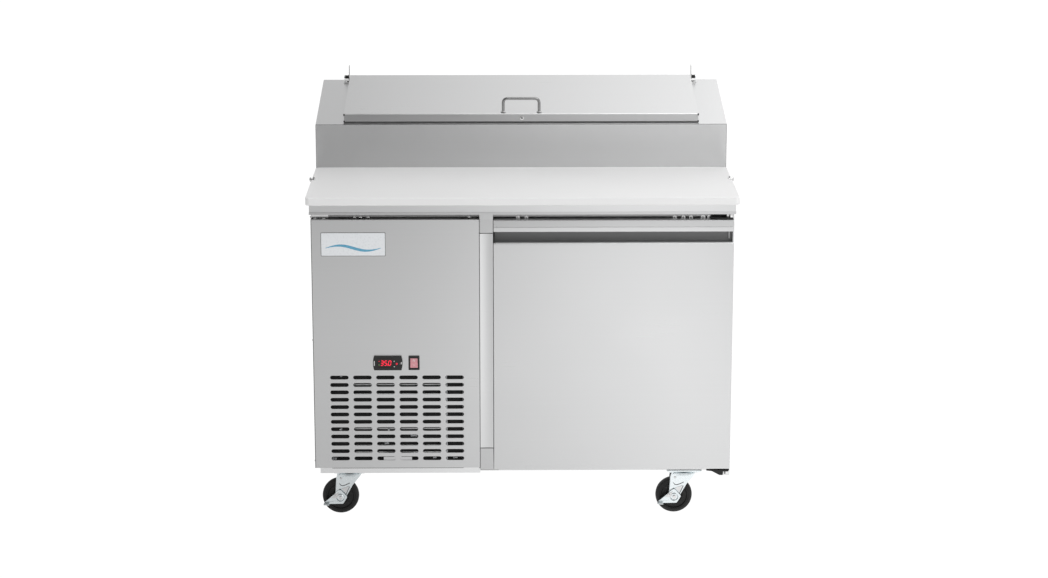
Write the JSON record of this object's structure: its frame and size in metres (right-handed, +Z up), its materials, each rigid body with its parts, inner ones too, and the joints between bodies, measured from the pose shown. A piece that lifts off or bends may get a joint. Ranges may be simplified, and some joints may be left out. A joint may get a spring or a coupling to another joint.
{
  "type": "refrigerated prep table",
  "caption": "Refrigerated prep table: insulated cabinet with a door, vented compressor bay, deep white cutting board, raised hood with a hinged lid over food pans, on swivel casters.",
  "frame": {"origin": "on the floor, under the middle of the whole table", "axes": "+X to the right of a user standing at the board, +Y away from the user to the back, +Z up"},
  "size_m": [1.152, 0.806, 1.1358],
  "materials": {
    "steel_brushed": "fine horizontal brushing, satin",
    "steel_polished": "bright drawn steel",
    "zinc": "bluish zinc plate",
    "board_white": "fine pebbled polyethylene",
    "liner_grey": "embossed liner sheet",
    "liner_white": "vacuum-formed liner",
    "gasket_grey": "soft magnetic gasket",
    "rail_black": "dark satin rail",
    "plastic_black": "moulded, fine texture",
    "key_grey": "small moulded keys",
    "display_red": "dark red lit window",
    "rocker_red": "translucent lit rocker",
    "paint_black": "black paint",
    "coil_aluminium": "finned block",
    "shelf_white": "white coated wire",
    "tread_black": "black hard rubber"
  },
  "bodies": {
    "root": {"left_side_panel": "steel_brushed", "right_side_wall": "steel_brushed", "front_panel": "steel_brushed", "worktop": "steel_brushed", "hood_shell": "steel_brushed", "center_mullion": "steel_brushed", "compressor_base": "steel_brushed", "pan_rail": "steel_brushed", "rear_grille": "steel_brushed", "back_wall": "steel_brushed", "cabinet_floor": "steel_brushed", "door_hinge_top": "steel_polished", "door_hinge_bottom": "steel_polished", "board_bracket_left": "steel_polished", "board_bracket_right": "steel_polished", "lid_hinge_left": "steel_polished", "lid_hinge_right": "steel_polished", "food_pan_1": "steel_polished", "food_pan_2": "steel_polished", "food_pan_3": "steel_polished", "food_pan_4": "steel_polished", "food_pan_5": "steel_polished", "caster_plate_front_left": "zinc", "caster_plate_front_right": "zinc", "caster_plate_rear_left": "zinc", "caster_plate_rear_right": "zinc", "partition_wall": "liner_grey", "pan_well": "liner_grey", "face_rail": "rail_black", "controller_housing": "plastic_black", "switch_bezel": "plastic_black", "cord_gland": "plastic_black", "display_window": "display_red", "compressor": "paint_black", "condenser_coil": "paint_black", "evaporator_coil": "coil_aluminium", "wire_shelf": "shelf_white"},
    "door": {"door_shell": "steel_brushed", "door_liner": "liner_white", "door_gasket": "gasket_grey"},
    "lid": {"lid_panel": "steel_brushed", "lid_handle": "steel_polished"},
    "board": {"cutting_board": "board_white"},
    "rocker": {"switch_rocker": "rocker_red"},
    "key_up": {"button_up": "key_grey"},
    "key_down": {"button_down": "key_grey"},
    "key_power": {"button_power": "key_grey"},
    "key_set": {"button_set": "key_grey"},
    "condenser_fan_rotor": {"condenser_fan": "plastic_black"},
    "evaporator_fan_rotor": {"evaporator_fan": "plastic_black"},
    "fork_front_left": {"caster_fork_front_left": "zinc"},
    "wheel_front_left": {"caster_wheel_front_left": "tread_black"},
    "brake_front_left": {"brake_pedal_front_left": "zinc"},
    "fork_front_right": {"caster_fork_front_right": "zinc"},
    "wheel_front_right": {"caster_wheel_front_right": "tread_black"},
    "brake_front_right": {"brake_pedal_front_right": "zinc"},
    "fork_rear_left": {"caster_fork_rear_left": "zinc"},
    "wheel_rear_left": {"caster_wheel_rear_left": "tread_black"},
    "fork_rear_right": {"caster_fork_rear_right": "zinc"},
    "wheel_rear_right": {"caster_wheel_rear_right": "tread_black"}
  },
  "joints": [
    {"name": "door_hinge", "type": "hinge", "parent": "root", "child": "door", "pos_m": [0.543, -0.345, 0.494], "axis": [0, 0, 1], "range_deg": [0, 110]},
    {"name": "lid_hinge", "type": "hinge", "parent": "root", "child": "lid", "pos_m": [0, 0.383, 1.10144], "axis": [-1, 0, 0], "range_deg": [0, 100]},
    {"name": "board_lift", "type": "slide", "parent": "root", "child": "board", "axis": [0, 0, 1], "range_m": [0, 0.05]},
    {"name": "switch_rock", "type": "hinge", "parent": "root", "child": "rocker", "pos_m": [-0.29, -0.3666, 0.4495], "axis": [1, 0, 0], "range_deg": [0, 16]},
    {"name": "key_up_press", "type": "slide", "parent": "root", "child": "key_up", "axis": [0, 1, 0], "range_m": [0, 0.001], "stiffness_N_per_m": 250},
    {"name": "key_down_press", "type": "slide", "parent": "root", "child": "key_down", "axis": [0, 1, 0], "range_m": [0, 0.001], "stiffness_N_per_m": 250},
    {"name": "key_power_press", "type": "slide", "parent": "root", "child": "key_power", "axis": [0, 1, 0], "range_m": [0, 0.001], "stiffness_N_per_m": 250},
    {"name": "key_set_press", "type": "slide", "parent": "root", "child": "key_set", "axis": [0, 1, 0], "range_m": [0, 0.001], "stiffness_N_per_m": 250},
    {"name": "condenser_fan_spin", "type": "hinge", "parent": "root", "child": "condenser_fan_rotor", "pos_m": [-0.34, -0.244, 0.285], "axis": [0, 1, 0], "continuous": true},
    {"name": "evaporator_fan_spin", "type": "hinge", "parent": "root", "child": "evaporator_fan_rotor", "pos_m": [0.23, 0.277, 0.65], "axis": [0, 1, 0], "continuous": true},
    {"name": "swivel_front_left", "type": "hinge", "parent": "root", "child": "fork_front_left", "pos_m": [-0.471, -0.275, 0.119], "axis": [0, 0, 1], "continuous": true},
    {"name": "roll_front_left", "type": "hinge", "parent": "fork_front_left", "child": "wheel_front_left", "pos_m": [-0.497, -0.275, 0.05], "axis": [0, 1, 0], "continuous": true},
    {"name": "brake_front_left_lift", "type": "hinge", "parent": "fork_front_left", "child": "brake_front_left", "pos_m": [-0.497, -0.296, 0.05], "axis": [0, 1, 0], "range_deg": [0, 25]},
    {"name": "swivel_front_right", "type": "hinge", "parent": "root", "child": "fork_front_right", "pos_m": [0.441, -0.275, 0.119], "axis": [0, 0, 1], "continuous": true},
    {"name": "roll_front_right", "type": "hinge", "parent": "fork_front_right", "child": "wheel_front_right", "pos_m": [0.415, -0.275, 0.05], "axis": [0, 1, 0], "continuous": true},
    {"name": "brake_front_right_lift", "type": "hinge", "parent": "fork_front_right", "child": "brake_front_right", "pos_m": [0.415, -0.296, 0.05], "axis": [0, 1, 0], "range_deg": [0, 25]},
    {"name": "swivel_rear_left", "type": "hinge", "parent": "root", "child": "fork_rear_left", "pos_m": [-0.471, 0.3, 0.119], "axis": [0, 0, 1], "continuous": true},
    {"name": "roll_rear_left", "type": "hinge", "parent": "fork_rear_left", "child": "wheel_rear_left", "pos_m": [-0.497, 0.3, 0.05], "axis": [0, 1, 0], "continuous": true},
    {"name": "swivel_rear_right", "type": "hinge", "parent": "root", "child": "fork_rear_right", "pos_m": [0.441, 0.3, 0.119], "axis": [0, 0, 1], "continuous": true},
    {"name": "roll_rear_right", "type": "hinge", "parent": "fork_rear_right", "child": "wheel_rear_right", "pos_m": [0.415, 0.3, 0.05], "axis": [0, 1, 0], "continuous": true}
  ]
}
